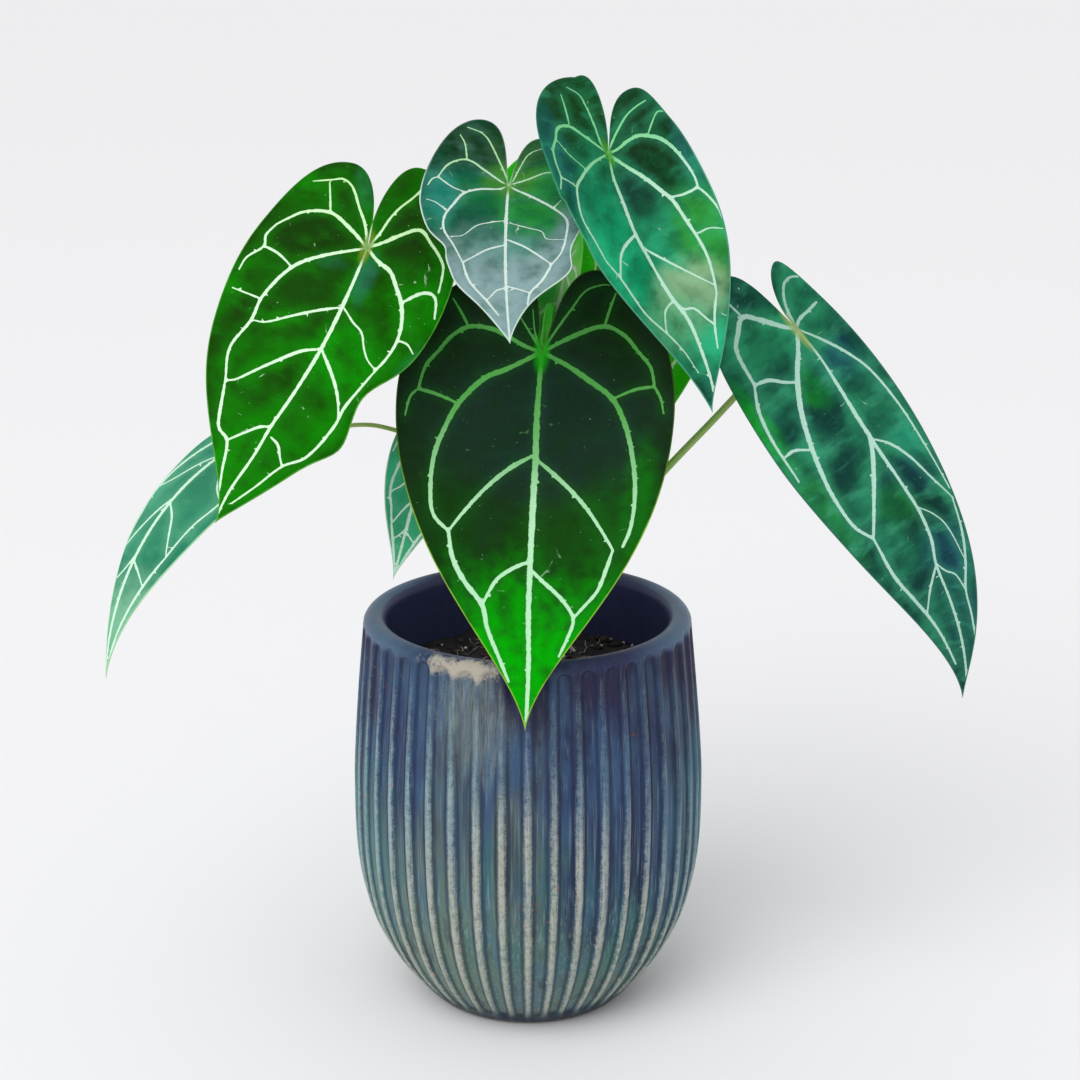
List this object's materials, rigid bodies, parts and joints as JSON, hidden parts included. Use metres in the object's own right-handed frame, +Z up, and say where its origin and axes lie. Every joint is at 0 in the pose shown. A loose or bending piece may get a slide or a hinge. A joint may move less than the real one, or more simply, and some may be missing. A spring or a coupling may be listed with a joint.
{
  "type": "potted foliage plant",
  "caption": "Houseplant with large heart-shaped, white-veined hanging leaves on slim stalks, growing in soil in a tall ribbed, glazed ceramic pot.",
  "frame": {"origin": "centre of the pot's flat foot, on the surface that it stands on", "axes": "+Z up, -Y towards the side that the leaves face, +X to the plant's right as it is looked at from there"},
  "size_m": [0.4125, 0.2218, 0.4663],
  "materials": {
    "glaze": "satin",
    "potting_mix": "matte",
    "plant_stem": "matte",
    "petiole": "satin",
    "leaf_front": "satin",
    "leaf_centre": "satin",
    "leaf_crown": "satin",
    "leaf_left": "satin",
    "leaf_right": "satin",
    "leaf_low_left": "satin",
    "leaf_low_back": "satin",
    "leaf_back": "satin",
    "leaf_young": "satin"
  },
  "bodies": {
    "root": {"pot": "glaze", "soil": "potting_mix", "stem": "plant_stem", "petiole_front": "petiole", "petiole_centre": "petiole", "petiole_crown": "petiole", "petiole_left": "petiole", "petiole_right": "petiole", "petiole_low_left": "petiole", "petiole_low_back": "petiole", "petiole_back": "petiole", "petiole_young": "petiole", "blade_front": "leaf_front", "blade_centre": "leaf_centre", "blade_crown": "leaf_crown", "blade_left": "leaf_left", "blade_right": "leaf_right", "blade_low_left": "leaf_low_left", "blade_low_back": "leaf_low_back", "blade_back": "leaf_back", "blade_young": "leaf_young"}
  },
  "joints": []
}
